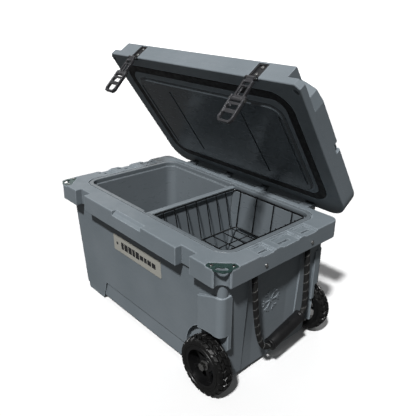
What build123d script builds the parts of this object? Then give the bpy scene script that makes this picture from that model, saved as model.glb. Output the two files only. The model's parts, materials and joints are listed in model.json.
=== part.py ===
from build123d import *
import os
from math import cos, pi, radians, sin, tan

os.makedirs("parts", exist_ok=True)

# A 45-litre wheeled cooler. Millimetres, +Z up, origin on the floor under the middle of the rim.
# +X runs along the length towards the wheels, -Y is the front, and the lid hinges along the back.

# Tub
RIM_LENGTH, RIM_WIDTH, RIM_HEIGHT = 700, 411, 47.2
RIM_TOP = 346.7
RIM_BOTTOM = RIM_TOP - RIM_HEIGHT
END_X, SIDE_Y = RIM_LENGTH / 2, RIM_WIDTH / 2
BASE_Z, BASE_X, BASE_Y = 12, 312, 167
NECK_X, NECK_Y = 328, 180
BODY_CORNER, WALL = 30, 6
FRONT_CENTRE = 4
PANEL_STEP = 0.4
BAND_TOP = 67

# Cavity
MOUTH_X, MOUTH_Y, MOUTH_CENTRE = 288, 154.5, 17.5
LEDGE_DEPTH, LEDGE_WIDTH = 13, 6.5
LIP_WIDTH, LIP_THICKNESS = 12, 5
CAVITY_FLOOR, CAVITY_DRAFT = 62, 5
LINER_WALL, FLOOR_BEND = 4, 14
SLOT_HALF, SLOT_DEPTH = 9, 6
GROOVE_WIDTH, GROOVE_DEPTH = 2.4, 3

# Wheels
AXLE_X, WHEEL_RADIUS, TYRE_WIDTH = 286.7, 72, 41.5
AXLE_Z = WHEEL_RADIUS
AXLE_RADIUS, RIM_RADIUS = 6, 50
WHEEL_OUTER_Y = SIDE_Y + 0.2
WHEEL_Y = WHEEL_OUTER_Y - TYRE_WIDTH / 2
WELL_RADIUS, WELL_TOP, WELL_Y = 90, 163, 160

# Lid, drawn shut and then turned open about the hinge rod
LID_BOTTOM, LID_HEIGHT, LID_SKIRT = 347.0, 56, 20
LID_TOP = LID_BOTTOM + LID_HEIGHT
LID_FRONT, LID_BACK = -206, 243
LID_OPEN = 55.05
HINGE_Y, HINGE_Z = 232, 335.6
ROD_RADIUS, ROD_FIT, KNUCKLE_RADIUS = 4, 0.05, 11
HINGE_AXIS = Axis((0, HINGE_Y, HINGE_Z), (1, 0, 0))

# Latches
LATCH_X, NOTCH_HALF, NOTCH_BACK = 224, 24, -186
ARM_Y, ARM_Z, ARM_LENGTH, ARM_TILT, LEVER_TILT = -207, 344, 57, 12, 12
PIN_RADIUS = 2.5

# Rope handles
ROPE_RADIUS, GRIP_RADIUS, GRIP_BORE, GRIP_LENGTH = 7, 16.5, 7.6, 121
GRIP_START, GRIP_END = (342, -29, 76), (342, 88, 107)

# Front corner plates, in the plan of the right-hand corner
PLATE_TOP, PLATE_THICKNESS = RIM_TOP - 1.5, 3
PLATE_HOLE, PLATE_SLOPE = (331, -188), 46
PLATE_SCREWS = [(306.5, -195), (340, -162)]
PLATE_OUTLINE = [
    (299, -205),
    (296, -192),
    (336, -152),
    (349.5, -155),
    (349.5, -181),
    (344, -196),
    (325, -205),
]
NICHE_RADIUS, NICHE_CENTRE = 17, (338, -193.5)

# Fasteners, anchors and drain
SCREW_RADIUS, SCREW_Z = 2.2, 317
ANCHOR_LOW, ANCHOR_HIGH, ANCHOR_INNER, ANCHOR_OUTER = RIM_BOTTOM, 327, 331, 345
DRAIN_Y, DRAIN_Z, DRAIN_BORE, DRAIN_RADIUS = 98, 79, 6, 9
FLAKE_Z, FLAKE_ARM = 178, 30


def save(part, name):
    """Label one finished piece and write its STEP file."""
    part.label = name
    export_step(part, f"parts/{name}.step")


def opened(part):
    """Turn a piece drawn on the shut lid to the lid's rest position."""
    return part.rotate(HINGE_AXIS, -LID_OPEN)


def mirrored(part):
    """The same piece on the other end of the tub."""
    return mirror(part, about=Plane.YZ)


def drafted_block(low, high, radius, centre_y=0):
    """A block that widens upwards between two rectangles, each given as (half x, half y, z)."""
    with BuildPart() as block:
        for index, plane, middle in ((0, Plane.XZ, 0), (1, Plane.YZ, centre_y)):
            with BuildSketch(plane):
                with BuildLine():
                    Polyline(
                        (middle - high[index], high[2]),
                        (middle - low[index], low[2]),
                        (middle + low[index], low[2]),
                        (middle + high[index], high[2]),
                        close=True,
                    )
                make_face()
            extrude(amount=RIM_LENGTH, both=True, mode=Mode.INTERSECT if index else Mode.ADD)
        uprights = block.edges().filter_by(lambda edge: abs((edge % 0.5).Z) > 0.9)
        fillet(uprights, radius)
    return block.part


def wheel_well(side, grow, inner_y):
    """The space round a wheel, flat-topped towards the end wall, from inner_y outwards."""
    with BuildPart() as well:
        with BuildSketch(Plane.XZ.offset(-side * inner_y)):
            with Locations((AXLE_X, AXLE_Z)):
                Circle(WELL_RADIUS + grow)
                top = WELL_TOP + grow - AXLE_Z
                Rectangle(WELL_RADIUS, top, align=(Align.MIN, Align.MIN))
        extrude(amount=-side * 60)
    return well.part


def end_panel(side, inset, half_outer, half_inner):
    """The recess in an end wall: a small step, then slanting sides, shallower towards the floor."""
    with BuildPart() as recess:
        for z, face_x, depth in ((BASE_Z - 2, BASE_X, 3), (RIM_BOTTOM, NECK_X, 12)):
            with BuildSketch(Plane.XY.offset(z)):
                with BuildLine():
                    floor_x = face_x - depth - inset
                    step_x = face_x - depth * PANEL_STEP - inset
                    outer_x = face_x + 1
                    Polyline(
                        (side * outer_x, -half_outer),
                        (side * step_x, -half_outer + 2),
                        (side * floor_x, -half_inner),
                        (side * floor_x, half_inner),
                        (side * step_x, half_outer - 2),
                        (side * outer_x, half_outer),
                        close=True,
                    )
                make_face()
        loft(ruled=True)
    return recess.part


def side_prism(points, side, y_low, y_high):
    """A prism with an outline in X and Z, between two distances from the middle plane."""
    with BuildPart() as prism:
        with BuildSketch(Plane.XZ.offset(-side * y_low)):
            with BuildLine():
                Polyline(*points, close=True)
            make_face()
        extrude(amount=-side * (y_high - y_low))
    return prism.part


def corner_outline(side, grow):
    """The plan of one corner plate, grown by a clearance."""
    with BuildSketch() as outline:
        with BuildLine():
            Polyline(*[(side * x, y) for x, y in PLATE_OUTLINE], close=True)
        make_face()
        fillet(outline.vertices(), 2.5)
        offset(amount=grow)
    return outline.sketch


def anchor_block(side, rope_y, screw_y):
    """The nylon block that holds one end of a rope inside the rim."""
    low, high = sorted((rope_y, screw_y))
    with BuildPart() as block:
        with BuildSketch(Plane.XY.offset(ANCHOR_LOW)):
            with Locations((side * (ANCHOR_INNER + ANCHOR_OUTER) / 2, (low + high) / 2)):
                RectangleRounded(ANCHOR_OUTER - ANCHOR_INNER, high - low + 16, 3)
        extrude(amount=ANCHOR_HIGH - ANCHOR_LOW)
    return block.part


def anchor_screw(side, screw_y):
    """A pan-head screw driven through the rim's end face into an anchor block."""
    with BuildPart() as screw:
        with BuildSketch(Plane.YZ.offset(side * (END_X - 14))):
            with Locations((screw_y, SCREW_Z)):
                Circle(SCREW_RADIUS)
        extrude(amount=side * 14)
        with BuildSketch(Plane.YZ.offset(side * END_X)):
            with Locations((screw_y, SCREW_Z)):
                Circle(4.6)
        extrude(amount=side * 2.4)
        rims = screw.edges().filter_by(GeomType.CIRCLE).sort_by(Axis.X)
        fillet(rims[-1 if side > 0 else 0], 1.2)
    return screw.part


def snowflake(side):
    """A raised snowflake, standing in the end panel's recess."""
    slope = (NECK_X - BASE_X - 9) / (RIM_BOTTOM - BASE_Z + 2)
    face_x = BASE_X - 3 + slope * (FLAKE_Z - BASE_Z + 2)
    with BuildPart() as flake:
        with BuildSketch(Plane((side * face_x, 0, FLAKE_Z), (0, side, 0), (side, 0, -slope))):
            with PolarLocations(FLAKE_ARM / 2, 6):
                Rectangle(FLAKE_ARM, 4.5)
            with PolarLocations(FLAKE_ARM * 0.66, 6):
                with Locations(Rotation(0, 0, 45), Rotation(0, 0, -45)):
                    Rectangle(13, 3.5, align=(Align.MIN, Align.CENTER))
        extrude(amount=1.4, both=True)
    return flake.part


# Cavity: the outside of the liner and the space inside it
def cavity(grow):
    """The inside of the tub, grown by a wall thickness all round."""
    drop = RIM_TOP - LEDGE_DEPTH - CAVITY_FLOOR
    draft = drop * tan(radians(CAVITY_DRAFT))
    upper = (MOUTH_X - LEDGE_WIDTH + grow, MOUTH_Y - LEDGE_WIDTH + grow, RIM_TOP - LEDGE_DEPTH)
    lower = (upper[0] - draft, upper[1] - draft, CAVITY_FLOOR - grow)
    with BuildPart() as space:
        add(drafted_block(lower, upper, 24 + grow, MOUTH_CENTRE))
        fillet(space.edges().group_by(Axis.Z)[0], FLOOR_BEND + grow)
        with BuildSketch(Plane.XY.offset(RIM_TOP - LEDGE_DEPTH - grow)):
            with Locations((0, MOUTH_CENTRE)):
                RectangleRounded(2 * (MOUTH_X + grow), 2 * (MOUTH_Y + grow), 30 + grow)
        extrude(amount=LEDGE_DEPTH + grow)
        top_half = MOUTH_Y + SLOT_DEPTH + grow
        slot_top = RIM_TOP - LIP_THICKNESS if grow else RIM_TOP
        with BuildSketch(Plane.YZ):
            with BuildLine():
                Polyline(
                    (MOUTH_CENTRE - top_half, slot_top),
                    (MOUTH_CENTRE - top_half + draft, CAVITY_FLOOR + 2),
                    (MOUTH_CENTRE + top_half - draft, CAVITY_FLOOR + 2),
                    (MOUTH_CENTRE + top_half, slot_top),
                    close=True,
                )
            make_face()
        extrude(amount=SLOT_HALF + grow, both=True)
    return space.part


liner_space = cavity(0)
liner_outside = cavity(LINER_WALL)

with BuildPart() as tub_liner:
    add(liner_outside)
    with BuildSketch(Plane.XY.offset(RIM_TOP - LIP_THICKNESS)):
        with Locations((0, MOUTH_CENTRE)):
            RectangleRounded(2 * (MOUTH_X + LIP_WIDTH), 2 * (MOUTH_Y + LIP_WIDTH), 42)
    extrude(amount=LIP_THICKNESS)
    liner_block = tub_liner.part
    add(liner_space, mode=Mode.SUBTRACT)
    fillet(tub_liner.edges().group_by(Axis.Z)[-1], 2)

# Foam space between the tub's outer wall and its liner
lower_room = (BASE_X - WALL, 153, BASE_Z + WALL)
upper_room = (NECK_X - WALL, NECK_Y - WALL, RIM_BOTTOM)
foam_room = drafted_block(lower_room, upper_room, BODY_CORNER - WALL)
well_walls = [wheel_well(side, WALL, WELL_Y - WALL) for side in (-1, 1)]
panel_walls = [end_panel(side, WALL, 103, 66) for side in (-1, 1)]

with BuildPart() as foam_space:
    add(foam_room)
    extrude(foam_space.faces().sort_by(Axis.Z)[-1], amount=RIM_HEIGHT - 13)
    for wall in well_walls + panel_walls:
        add(wall, mode=Mode.SUBTRACT)

# Tub shell
POD_END, POD_CORNER, PILLAR_RADIUS = 329, 17, 14
body = drafted_block((BASE_X, BASE_Y, BASE_Z), (NECK_X, NECK_Y, RIM_BOTTOM), BODY_CORNER)
pod_outline = [(252, 120), (252, 243), (308, 264), (POD_END, 264), (POD_END, 120)]
pods = [side_prism(pod_outline, side, 150, 185) for side in (-1, 1)]
foot_outline = [(-300, 30), (-296, 0), (-197, 0), (-186, 30)]
feet = [side_prism(foot_outline, side, 108, 167) for side in (-1, 1)]
band_outline = [(-173, BAND_TOP), (-199, -5), (250, -5), (250, BAND_TOP)]
bands = [side_prism(band_outline, side, 164.5, 200) for side in (-1, 1)]
wells = [wheel_well(side, 0, WELL_Y) for side in (-1, 1)]
panels = [end_panel(side, 0, 97, 60) for side in (-1, 1)]
LUG_SPANS = [(-250, -222), (-88, -60), (60, 88), (222, 250)]
RIGHT_PADS = [(-88, -40), (-22, 50), (61, 115)]
LEFT_PADS = [(-72, -30), (0, 47), (87, 127)]
RIGHT_SLOTS = [(-82, -49), (-15, 27), (72, 103)]
ANCHOR_LEGS = [(-92, -70), (99, 97)]


def rounded_pod(pod, side):
    """A wheel pod with its outer edges softened."""
    with BuildPart() as soft:
        add(pod)
        uprights = soft.edges().filter_by(Axis.Z).group_by(Axis.X)[-1].sort_by(Axis.Y)
        fillet(uprights[0 if side < 0 else -1], POD_CORNER)
        fillet(soft.faces().sort_by(Axis.Y)[0 if side < 0 else -1].edges(), 2.5)
    return soft.part


def rounded_foot(foot):
    """A moulded foot with a softened sole edge."""
    with BuildPart() as soft:
        add(foot)
        uprights = soft.edges().filter_by(Axis.Y, reverse=True).group_by(Axis.X)[0]
        fillet(uprights, 20)
        chamfer(soft.edges().group_by(Axis.Z)[0], 2)
    return soft.part


pods = [rounded_pod(pod, side) for pod, side in zip(pods, (-1, 1))]
feet = [rounded_foot(foot) for foot in feet]

with BuildPart() as rim:
    with BuildSketch(Plane.XY.offset(RIM_BOTTOM)):
        RectangleRounded(RIM_LENGTH, RIM_WIDTH, 22)
        for side in (-1, 1):
            with BuildLine():
                Polyline(
                    (side * 320, -SIDE_Y - 1),
                    (side * (END_X + 1), -SIDE_Y - 1),
                    (side * (END_X + 1), -175),
                    close=True,
                )
            make_face(mode=Mode.SUBTRACT)
            with Locations((side * NICHE_CENTRE[0], NICHE_CENTRE[1])):
                Circle(NICHE_RADIUS, mode=Mode.SUBTRACT)
            with Locations((side * LATCH_X, -SIDE_Y)):
                Rectangle(2 * NOTCH_HALF, 2 * (SIDE_Y + NOTCH_BACK), mode=Mode.SUBTRACT)
    extrude(amount=RIM_HEIGHT)
    outer_edges = rim.edges().group_by(Axis.Z)
    fillet(outer_edges[-1] + outer_edges[0], 2.4)

with BuildPart() as tub_shell:
    add(body)
    fillet(tub_shell.edges().group_by(Axis.Z)[0], 9)
    for piece in pods + feet:
        add(piece)
    for side in (-1, 1):
        with Locations((POD_END - 2 - PILLAR_RADIUS, side * (181 - PILLAR_RADIUS), RIM_BOTTOM / 2 + 25)):
            Cylinder(PILLAR_RADIUS, RIM_BOTTOM - 50)
    for cut in wells + bands + panels:
        add(cut, mode=Mode.SUBTRACT)
    add(rim.part)
    # Hinge lugs on the back of the rim
    for low, high in LUG_SPANS:
        with BuildSketch(Plane.YZ.offset(low)):
            with Locations((HINGE_Y, HINGE_Z)):
                Circle(KNUCKLE_RADIUS)
            with BuildLine():
                Polyline(
                    (SIDE_Y - 2, RIM_BOTTOM + 6),
                    (HINGE_Y + 8, HINGE_Z - 7),
                    (HINGE_Y, HINGE_Z + KNUCKLE_RADIUS),
                    (SIDE_Y - 2, HINGE_Z + KNUCKLE_RADIUS),
                    close=True,
                )
            make_face()
        extrude(amount=high - low)
    # Finger recess along the front edge
    with BuildSketch(Plane.YZ.offset(FRONT_CENTRE - 63)):
        with BuildLine():
            Polyline(
                (-191, RIM_TOP + 1),
                (-197, RIM_TOP - 7),
                (-207, RIM_TOP - 13),
                (-207, RIM_TOP + 1),
                close=True,
            )
        make_face()
    extrude(amount=126, mode=Mode.SUBTRACT)
    # Stepped pads along both end rims, with a slot in each right-hand one
    for side, pads in ((1, RIGHT_PADS), (-1, LEFT_PADS)):
        for low, high in pads:
            for inset, depth in ((0, 2.5), (6, 5)):
                with BuildSketch(Plane.XY.offset(RIM_TOP - depth)):
                    with BuildLine():
                        Polyline(
                            (side * (306 + inset), low + inset),
                            (side * (END_X + 1), low + inset),
                            (side * (END_X + 1), high - inset),
                            (side * (306 + inset), high - inset),
                            close=True,
                        )
                    make_face()
                extrude(amount=depth + 1, mode=Mode.SUBTRACT)
    for low, high in RIGHT_SLOTS:
        for side in (-1, 1):
            with BuildSketch(Plane.XY.offset(RIM_TOP - 10)):
                with Locations((side * 332, (low + high) / 2)):
                    SlotOverall(high - low, 8, rotation=90)
            extrude(amount=12, mode=Mode.SUBTRACT)
    # Pockets for the corner plates and bores for their screws
    for side in (-1, 1):
        with BuildSketch(Plane.XY.offset(PLATE_TOP - PLATE_THICKNESS)):
            add(corner_outline(side, 0.4))
        extrude(amount=10, mode=Mode.SUBTRACT)
        with Locations(*[(side * x, y, PLATE_TOP - 8) for x, y in PLATE_SCREWS]):
            Cylinder(SCREW_RADIUS, 16, mode=Mode.SUBTRACT)
    # Pockets under both end rims for the rope anchors, and bores for their screws
    for side in (-1, 1):
        for rope_y, screw_y in ANCHOR_LEGS:
            add(anchor_block(side, rope_y, screw_y), mode=Mode.SUBTRACT)
            add(anchor_screw(side, screw_y), mode=Mode.SUBTRACT)
        add(snowflake(side))
    # Groove round the liner's lip
    with BuildSketch(Plane.XY.offset(RIM_TOP - GROOVE_DEPTH)):
        with Locations((0, MOUTH_CENTRE)):
            groove_x, groove_y = (half + LIP_WIDTH + GROOVE_WIDTH for half in (MOUTH_X, MOUTH_Y))
            RectangleRounded(2 * groove_x, 2 * groove_y, 42 + GROOVE_WIDTH)
    extrude(amount=GROOVE_DEPTH + 1, mode=Mode.SUBTRACT)
    add(foam_space.part, mode=Mode.SUBTRACT)
    add(liner_block, mode=Mode.SUBTRACT)
    # Bores for the axle, the hinge rod and the drain
    with BuildSketch(Plane.XZ):
        with Locations((AXLE_X, AXLE_Z)):
            Circle(AXLE_RADIUS)
    extrude(amount=WELL_Y + 5, both=True, mode=Mode.SUBTRACT)
    with BuildSketch(Plane.YZ):
        with Locations((HINGE_Y, HINGE_Z)):
            Circle(ROD_RADIUS + ROD_FIT)
    extrude(amount=END_X, both=True, mode=Mode.SUBTRACT)
    with BuildSketch(Plane.YZ):
        with Locations((DRAIN_Y, DRAIN_Z)):
            Circle(DRAIN_RADIUS)
    extrude(amount=-END_X, mode=Mode.SUBTRACT)

# The drain passage crosses the liner's end wall as well
with BuildPart() as drain_way:
    with BuildSketch(Plane.YZ.offset(-END_X)):
        with Locations((DRAIN_Y, DRAIN_Z)):
            Circle(DRAIN_RADIUS)
    extrude(amount=END_X - 200)

with BuildPart() as drained_liner:
    add(tub_liner.part)
    add(drain_way.part, mode=Mode.SUBTRACT)

with BuildPart() as tub_foam:
    add(foam_space.part)
    add(liner_block, mode=Mode.SUBTRACT)
    for side in (-1, 1):
        for rope_y, screw_y in ANCHOR_LEGS:
            add(anchor_block(side, rope_y, screw_y), mode=Mode.SUBTRACT)
    with BuildSketch(Plane.XZ):
        with Locations((AXLE_X, AXLE_Z)):
            Circle(AXLE_RADIUS)
    extrude(amount=WELL_Y + 5, both=True, mode=Mode.SUBTRACT)
    with BuildSketch(Plane.YZ.offset(-END_X)):
        with Locations((DRAIN_Y, DRAIN_Z)):
            Rectangle(2 * DRAIN_RADIUS + 1, 2 * DRAIN_RADIUS + 1)
    extrude(amount=END_X - 200, mode=Mode.SUBTRACT)

save(tub_shell.part, "tub_shell")
save(drained_liner.part, "tub_liner")
save(tub_foam.part, "tub_foam")

# Drain: a sleeve through the end wall, closed by a plug with a knurled knob
BODY_END_AT_DRAIN = -(BASE_X + (NECK_X - BASE_X) * (DRAIN_Z - BASE_Z) / (RIM_BOTTOM - BASE_Z))
LINER_END_AT_DRAIN = -259
with BuildPart() as drain_sleeve:
    with BuildSketch(Plane.YZ.offset(LINER_END_AT_DRAIN)):
        with Locations((DRAIN_Y, DRAIN_Z)):
            Circle(DRAIN_RADIUS)
    extrude(amount=BODY_END_AT_DRAIN - 1 - LINER_END_AT_DRAIN)
    with BuildSketch(Plane.YZ.offset(BODY_END_AT_DRAIN - 1)):
        with Locations((DRAIN_Y, DRAIN_Z)):
            Circle(DRAIN_RADIUS + 3)
    extrude(amount=-3)
    with BuildSketch(Plane.YZ.offset(LINER_END_AT_DRAIN + 5)):
        with Locations((DRAIN_Y, DRAIN_Z)):
            Circle(DRAIN_BORE)
    extrude(amount=-100, mode=Mode.SUBTRACT)
save(drain_sleeve.part, "drain_sleeve")

plug_face = BODY_END_AT_DRAIN - 4
with BuildPart() as drain_plug:
    with BuildSketch(Plane.YZ.offset(plug_face - 1.8)):
        with Locations((DRAIN_Y, DRAIN_Z)):
            Circle(DRAIN_RADIUS + 2)
            with PolarLocations(DRAIN_RADIUS + 2, 10):
                Circle(1.6, mode=Mode.SUBTRACT)
    extrude(amount=-9)
    fillet(drain_plug.faces().sort_by(Axis.X)[0].edges(), 0.8)
    with BuildSketch(Plane.YZ.offset(plug_face - 1.8)):
        with Locations((DRAIN_Y, DRAIN_Z)):
            Circle(DRAIN_BORE - 0.4)
    extrude(amount=32)
save(drain_plug.part, "drain_plug")

with BuildPart() as drain_seal:
    with BuildSketch(Plane.YZ.offset(plug_face - 0.3)):
        with Locations((DRAIN_Y, DRAIN_Z)):
            Circle(DRAIN_RADIUS + 1)
            Circle(DRAIN_BORE - 0.4, mode=Mode.SUBTRACT)
    extrude(amount=-1.5)
save(drain_seal.part, "drain_seal")

# Corner plates and their screws
for name, side in (("left", -1), ("right", 1)):
    with BuildPart() as corner_plate:
        with BuildSketch(Plane.XY.offset(PLATE_TOP - PLATE_THICKNESS)):
            add(corner_outline(side, 0.1))
            with Locations((side * PLATE_HOLE[0], PLATE_HOLE[1])):
                SlotOverall(28, 14, rotation=side * PLATE_SLOPE, mode=Mode.SUBTRACT)
        extrude(amount=PLATE_THICKNESS)
        with Locations(*[(side * x, y, PLATE_TOP) for x, y in PLATE_SCREWS]):
            Cylinder(SCREW_RADIUS, 20, mode=Mode.SUBTRACT)
    save(corner_plate.part, f"corner_plate_{name}")

with BuildPart() as plate_screws:
    spots = [(side * x, y) for side in (-1, 1) for x, y in PLATE_SCREWS]
    with Locations(*[(x, y, PLATE_TOP) for x, y in spots]):
        Cylinder(4.2, 1.8, align=(Align.CENTER, Align.CENTER, Align.MIN))
    fillet(plate_screws.edges().group_by(Axis.Z)[-1], 1)
    with Locations(*[(x, y, PLATE_TOP) for x, y in spots]):
        Cylinder(SCREW_RADIUS, 16, align=(Align.CENTER, Align.CENTER, Align.MAX))
save(plate_screws.part, "plate_screws")

# Rope anchors
with BuildPart() as rope_anchors:
    for side in (-1, 1):
        for rope_y, screw_y in ANCHOR_LEGS:
            add(anchor_block(side, rope_y, screw_y))
    for side in (-1, 1):
        for rope_y, screw_y in ANCHOR_LEGS:
            add(anchor_screw(side, screw_y), mode=Mode.SUBTRACT)
save(rope_anchors.part, "rope_anchors")

with BuildPart() as anchor_screws:
    for side in (-1, 1):
        for rope_y, screw_y in ANCHOR_LEGS:
            add(anchor_screw(side, screw_y))
save(anchor_screws.part, "anchor_screws")

# Label plate, lying on the slanting front wall
LABEL_LENGTH, LABEL_HEIGHT, LABEL_Z = 210, 48, 237
wall_slope = (NECK_Y - BASE_Y) / (RIM_BOTTOM - BASE_Z)
label_y = -(BASE_Y + wall_slope * (LABEL_Z - BASE_Z))
label_plane = Plane((FRONT_CENTRE, label_y, LABEL_Z), (1, 0, 0), (0, -1, -wall_slope))
with BuildPart() as label_plate:
    with BuildSketch(label_plane):
        RectangleRounded(LABEL_LENGTH, LABEL_HEIGHT, 3)
    extrude(amount=1.2)
save(label_plate.part, "label_plate")

# Axle with a washer and a nut at each wheel
NUT_INNER, NUT_OUTER, NUT_RADIUS = WHEEL_OUTER_Y - 14, WHEEL_OUTER_Y - 4, 10
with BuildPart() as axle:
    with BuildSketch(Plane.XZ):
        with Locations((AXLE_X, AXLE_Z)):
            Circle(AXLE_RADIUS)
    extrude(amount=NUT_OUTER - 2, both=True)
save(axle.part, "axle")

with BuildPart() as axle_washers:
    for side in (-1, 1):
        for inner, outer in ((WELL_Y, WELL_Y + 3), (NUT_INNER - 1.8, NUT_INNER)):
            with BuildSketch(Plane.XZ.offset(-side * inner)):
                with Locations((AXLE_X, AXLE_Z)):
                    Circle(12)
                    Circle(AXLE_RADIUS, mode=Mode.SUBTRACT)
            extrude(amount=-side * (outer - inner))
save(axle_washers.part, "axle_washers")

with BuildPart() as axle_nuts:
    for side in (-1, 1):
        with BuildSketch(Plane.XZ.offset(-side * NUT_INNER)):
            with Locations((AXLE_X, AXLE_Z)):
                RegularPolygon(NUT_RADIUS, 6)
        extrude(amount=-side * (NUT_OUTER - NUT_INNER))
        with BuildSketch(Plane.XZ.offset(-side * NUT_INNER)):
            with Locations((AXLE_X, AXLE_Z)):
                Circle(AXLE_RADIUS)
        extrude(amount=-side * (NUT_OUTER - 2 - NUT_INNER), mode=Mode.SUBTRACT)
save(axle_nuts.part, "axle_nuts")

# Wheels: a tyre, a spoked hub and a bearing bush on each side
BUSH_RADIUS, SPOKES = 10, 5
for name, side in (("front", -1), ("back", 1)):
    middle = side * WHEEL_Y
    with BuildPart() as tyre:
        with BuildSketch(Plane.YZ.offset(AXLE_X)):
            with BuildLine():
                half = TYRE_WIDTH / 2
                Polyline(
                    (middle - half + 4, AXLE_Z + RIM_RADIUS),
                    (middle - half, AXLE_Z + RIM_RADIUS + 5),
                    (middle - half, AXLE_Z + WHEEL_RADIUS - 7),
                    (middle - half + 6, AXLE_Z + WHEEL_RADIUS),
                    (middle + half - 6, AXLE_Z + WHEEL_RADIUS),
                    (middle + half, AXLE_Z + WHEEL_RADIUS - 7),
                    (middle + half, AXLE_Z + RIM_RADIUS + 5),
                    (middle + half - 4, AXLE_Z + RIM_RADIUS),
                    close=True,
                )
            make_face()
        revolve(axis=Axis((AXLE_X, 0, AXLE_Z), (0, 1, 0)))
    save(tyre.part, f"tyre_{name}")

    with BuildPart() as hub:
        with BuildSketch(Plane.XZ.offset(-side * (WHEEL_OUTER_Y - TYRE_WIDTH + 2))):
            with Locations((AXLE_X, AXLE_Z)):
                Circle(RIM_RADIUS)
        extrude(amount=-side * (TYRE_WIDTH - 4))
        with BuildSketch(Plane.XZ.offset(-side * (WHEEL_Y + 3))):
            with Locations((AXLE_X, AXLE_Z)):
                Circle(RIM_RADIUS - 6)
        extrude(amount=-side * 30, mode=Mode.SUBTRACT)
        with BuildSketch(Plane.XZ.offset(-side * (WHEEL_Y - 4))):
            with Locations((AXLE_X, AXLE_Z)):
                Circle(RIM_RADIUS - 6)
                Circle(19, mode=Mode.SUBTRACT)
        extrude(amount=side * 30, mode=Mode.SUBTRACT)
        with BuildSketch(Plane.XZ.offset(-side * (WHEEL_Y - 4))):
            with Locations((AXLE_X, AXLE_Z)):
                Circle(RIM_RADIUS - 6)
                Circle(19, mode=Mode.SUBTRACT)
                with PolarLocations(0, SPOKES):
                    Rectangle(RIM_RADIUS, 9, align=(Align.MIN, Align.CENTER), mode=Mode.SUBTRACT)
        extrude(amount=-side * 30, mode=Mode.SUBTRACT)
        with BuildSketch(Plane.XZ):
            with Locations((AXLE_X, AXLE_Z)):
                Circle(BUSH_RADIUS)
        extrude(amount=-side * 260, mode=Mode.SUBTRACT)
    save(hub.part, f"hub_{name}")

    with BuildPart() as bush:
        with BuildSketch(Plane.XZ.offset(-side * (WELL_Y + 3.4))):
            with Locations((AXLE_X, AXLE_Z)):
                Circle(BUSH_RADIUS)
                Circle(AXLE_RADIUS + 0.06, mode=Mode.SUBTRACT)
        extrude(amount=-side * (NUT_INNER - 2.2 - WELL_Y - 3.4))
    save(bush.part, f"bush_{name}")

# Hinge rod, shared by the tub's lugs and the lid's knuckles
with BuildPart() as hinge_rod:
    with BuildSketch(Plane.YZ):
        with Locations((HINGE_Y, HINGE_Z)):
            Circle(ROD_RADIUS)
    extrude(amount=253, both=True)
save(hinge_rod.part, "hinge_rod")

# Lid shell: a skirt with the tub's outline and a crown with cut-back front corners
PANEL_X, PANEL_FRONT, PANEL_BACK = 273, -130, 165
KNUCKLE_SPANS = [(-220.5, -89.5), (-58.5, 58.5), (89.5, 220.5)]
LID_WALL = 6
BRACKET_HALF, BRACKET_DEPTH, BRACKET_LOW, BRACKET_HIGH = 15, 8, 349, 393


def lid_plan(points, z, height):
    """A slab of the lid over a plan with rounded back corners."""
    with BuildPart() as slab:
        with BuildSketch(Plane.XY.offset(z)) as plan:
            with BuildLine():
                Polyline(*points, close=True)
            make_face()
            back = plan.vertices().group_by(Axis.Y)[-1]
            fillet(back, 58)
        extrude(amount=height)
    return slab.part


skirt_points = [
    (-END_X, LID_BACK),
    (-END_X, -194),
    (-338, LID_FRONT),
    (338, LID_FRONT),
    (END_X, -194),
    (END_X, LID_BACK),
]
crown_points = [
    (-END_X, LID_BACK),
    (-END_X, -117),
    (-342, -150),
    (-318, -166),
    (-310, -170),
    (-310, LID_FRONT),
    (310, LID_FRONT),
    (310, -170),
    (318, -166),
    (342, -150),
    (END_X, -117),
    (END_X, LID_BACK),
]

with BuildPart() as crown:
    add(lid_plan(crown_points, LID_BOTTOM + LID_SKIRT - 2, LID_HEIGHT - LID_SKIRT + 2))
    fillet(crown.edges().group_by(Axis.Z)[-1], 7)

with BuildPart() as skirt:
    add(lid_plan(skirt_points, LID_BOTTOM, LID_SKIRT))
    fillet(skirt.edges().group_by(Axis.Z)[0], 3)
    fillet(skirt.edges().group_by(Axis.Z)[-1], 3)

with BuildPart() as lid_room:
    with BuildSketch(Plane.XY.offset(LID_BOTTOM + LID_WALL)):
        with BuildLine():
            Polyline(
                (-330, 222),
                (-330, -144),
                (-302, -162),
                (-302, -186),
                (302, -186),
                (302, -162),
                (330, -144),
                (330, 222),
                close=True,
            )
        make_face()
    extrude(amount=LID_HEIGHT - 2 * LID_WALL - 3)
    corner_uprights = lid_room.edges().filter_by(Axis.Z).group_by(Axis.Y)[-1]
    fillet(corner_uprights, 52)

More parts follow.
